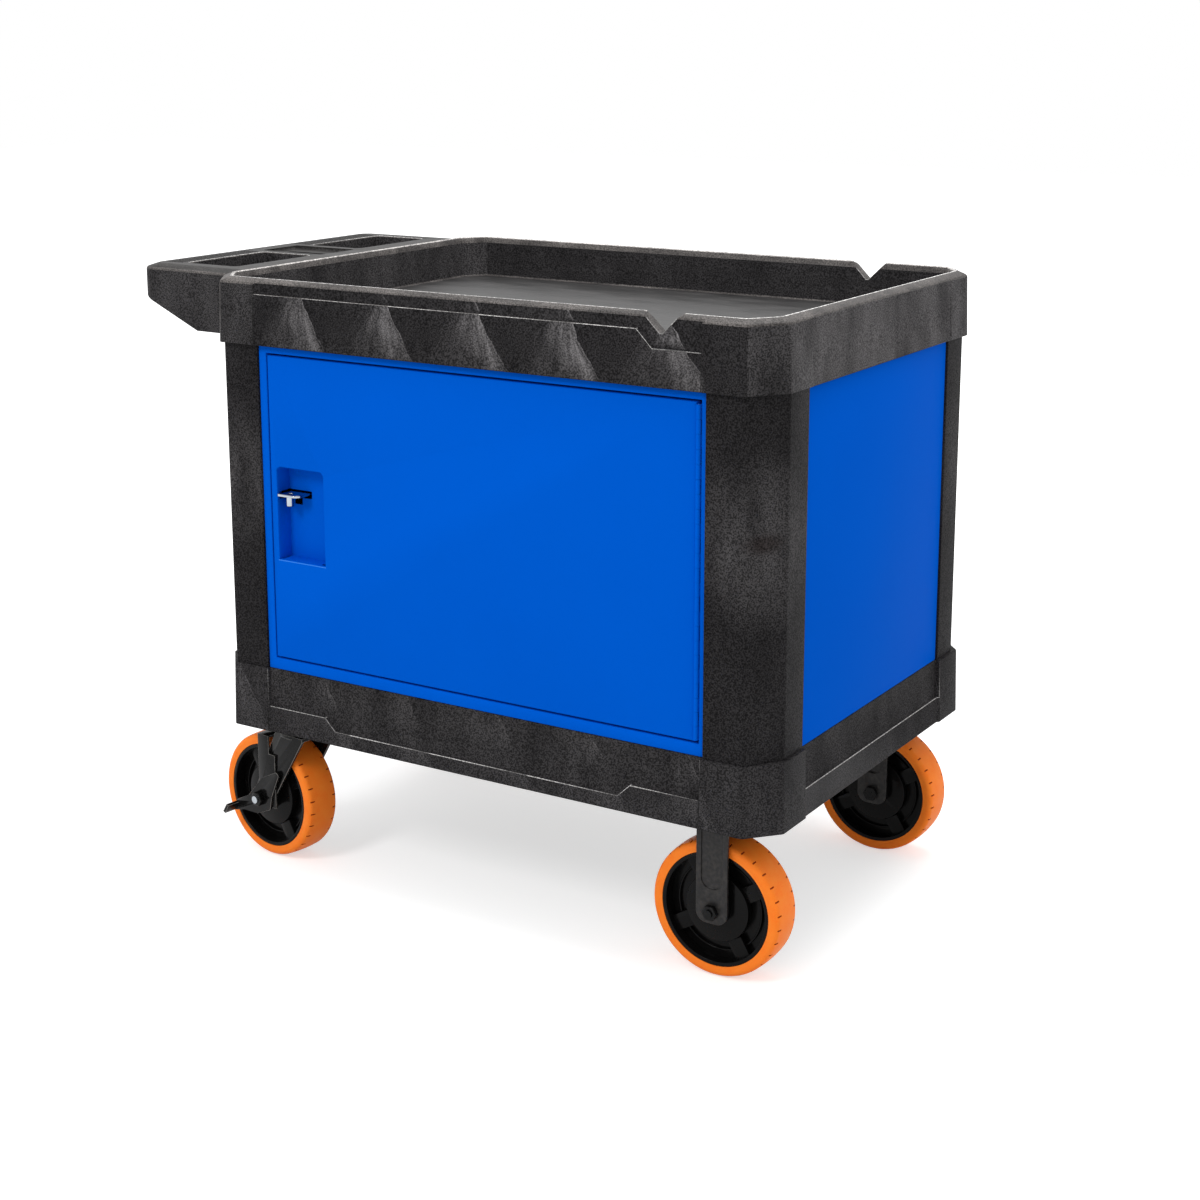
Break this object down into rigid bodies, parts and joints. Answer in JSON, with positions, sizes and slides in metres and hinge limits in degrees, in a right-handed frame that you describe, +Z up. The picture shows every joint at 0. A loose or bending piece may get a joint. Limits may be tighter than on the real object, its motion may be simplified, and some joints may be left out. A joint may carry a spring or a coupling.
{
  "type": "armored utility cart",
  "caption": "Rolling utility cart with a moulded top tray and handle, a lockable blue steel cabinet between corner posts, and braked swivel and rigid casters.",
  "frame": {"origin": "on the floor, below the middle of the cart's bounding box", "axes": "+X from the handle end to the far end, -Y out of the door side, +Z up"},
  "size_m": [1.1676, 0.7112, 0.9485],
  "materials": {
    "moulded_charcoal": "moulded structural foam, charcoal, fine pebble grain with swirl marks",
    "blue_powder_coat": "satin powder coat",
    "black_coated_steel": "black e-coat",
    "zinc_plated_steel": "zinc plated",
    "chromed_steel": "polished",
    "orange_tyre": "satin moulded",
    "black_hub": "gloss moulded"
  },
  "bodies": {
    "cart": {"top_tray": "moulded_charcoal", "base_tray": "moulded_charcoal", "post_front_left": "moulded_charcoal", "post_front_right": "moulded_charcoal", "post_back_left": "moulded_charcoal", "post_back_right": "moulded_charcoal", "door_frame": "blue_powder_coat", "back_panel": "blue_powder_coat", "handle_end_panel": "blue_powder_coat", "far_end_panel": "blue_powder_coat", "panel_screws": "zinc_plated_steel", "hinge_leaf_frame": "blue_powder_coat", "hinge_pin": "zinc_plated_steel", "lock_staple": "chromed_steel", "caster_bolts": "zinc_plated_steel", "caster_nuts": "zinc_plated_steel", "rigid_fork_front": "black_coated_steel", "rigid_axle_front": "black_coated_steel", "rigid_axle_nut_front": "black_coated_steel", "swivel_plate_front": "black_coated_steel", "kingpin_front": "zinc_plated_steel", "rigid_fork_back": "black_coated_steel", "rigid_axle_back": "black_coated_steel", "rigid_axle_nut_back": "black_coated_steel", "swivel_plate_back": "black_coated_steel", "kingpin_back": "zinc_plated_steel"},
    "door": {"door_panel": "blue_powder_coat", "lock_pocket": "blue_powder_coat", "door_stiffeners": "blue_powder_coat", "hinge_leaf_door": "blue_powder_coat"},
    "rigid_wheel_front": {"rigid_tyre_front": "orange_tyre", "rigid_hub_front": "black_hub", "rigid_bearings_front": "zinc_plated_steel"},
    "swivel_front": {"swivel_fork_front": "black_coated_steel", "swivel_balls_front": "zinc_plated_steel", "swivel_axle_front": "zinc_plated_steel", "swivel_axle_nut_front": "black_coated_steel"},
    "swivel_wheel_front": {"swivel_tyre_front": "orange_tyre", "swivel_hub_front": "black_hub", "swivel_bearings_front": "zinc_plated_steel"},
    "brake_lever_front": {"brake_lever_front": "black_coated_steel"},
    "brake_blade_front": {"brake_blade_front": "black_coated_steel"},
    "rigid_wheel_back": {"rigid_tyre_back": "orange_tyre", "rigid_hub_back": "black_hub", "rigid_bearings_back": "zinc_plated_steel"},
    "swivel_back": {"swivel_fork_back": "black_coated_steel", "swivel_balls_back": "zinc_plated_steel", "swivel_axle_back": "zinc_plated_steel", "swivel_axle_nut_back": "black_coated_steel"},
    "swivel_wheel_back": {"swivel_tyre_back": "orange_tyre", "swivel_hub_back": "black_hub", "swivel_bearings_back": "zinc_plated_steel"},
    "brake_lever_back": {"brake_lever_back": "black_coated_steel"},
    "brake_blade_back": {"brake_blade_back": "black_coated_steel"}
  },
  "joints": [
    {"name": "door_hinge", "type": "hinge", "parent": "cart", "child": "door", "pos_m": [0.46595, -0.343, 0.59505], "axis": [0, 0, 1], "range_deg": [0, 160]},
    {"name": "rigid_wheel_front_spin", "type": "hinge", "parent": "cart", "child": "rigid_wheel_front", "pos_m": [0.47365, -0.269, 0.1016], "axis": [0, 1, 0], "continuous": true},
    {"name": "swivel_front_turn", "type": "hinge", "parent": "cart", "child": "swivel_front", "pos_m": [-0.28875, -0.269, 0.242], "axis": [0, 0, 1], "continuous": true},
    {"name": "swivel_wheel_front_spin", "type": "hinge", "parent": "swivel_front", "child": "swivel_wheel_front", "pos_m": [-0.34818, -0.26075, 0.1016], "axis": [0.1374, 0.9905, 0], "continuous": true},
    {"name": "brake_lever_front_press", "type": "hinge", "parent": "swivel_front", "child": "brake_lever_front", "pos_m": [-0.34818, -0.26075, 0.1016], "axis": [-0.1374, -0.9905, 0], "range_deg": [0, 20]},
    {"name": "brake_blade_front_drop", "type": "slide", "parent": "swivel_front", "child": "brake_blade_front", "axis": [0, 0, -1], "range_m": [0, 0.0029]},
    {"name": "rigid_wheel_back_spin", "type": "hinge", "parent": "cart", "child": "rigid_wheel_back", "pos_m": [0.47365, 0.269, 0.1016], "axis": [0, 1, 0], "continuous": true},
    {"name": "swivel_back_turn", "type": "hinge", "parent": "cart", "child": "swivel_back", "pos_m": [-0.28875, 0.269, 0.242], "axis": [0, 0, 1], "continuous": true},
    {"name": "swivel_wheel_back_spin", "type": "hinge", "parent": "swivel_back", "child": "swivel_wheel_back", "pos_m": [-0.34875, 0.269, 0.1016], "axis": [0, 1, 0], "continuous": true},
    {"name": "brake_lever_back_press", "type": "hinge", "parent": "swivel_back", "child": "brake_lever_back", "pos_m": [-0.34875, 0.269, 0.1016], "axis": [0, -1, 0], "range_deg": [0, 20]},
    {"name": "brake_blade_back_drop", "type": "slide", "parent": "swivel_back", "child": "brake_blade_back", "axis": [0, 0, -1], "range_m": [0, 0.0029]}
  ],
  "couplings": [
    {"joint": "brake_blade_front_drop", "follows": "brake_lever_front_press", "m_per_rad": 0.0083},
    {"joint": "brake_blade_back_drop", "follows": "brake_lever_back_press", "m_per_rad": 0.0083}
  ]
}
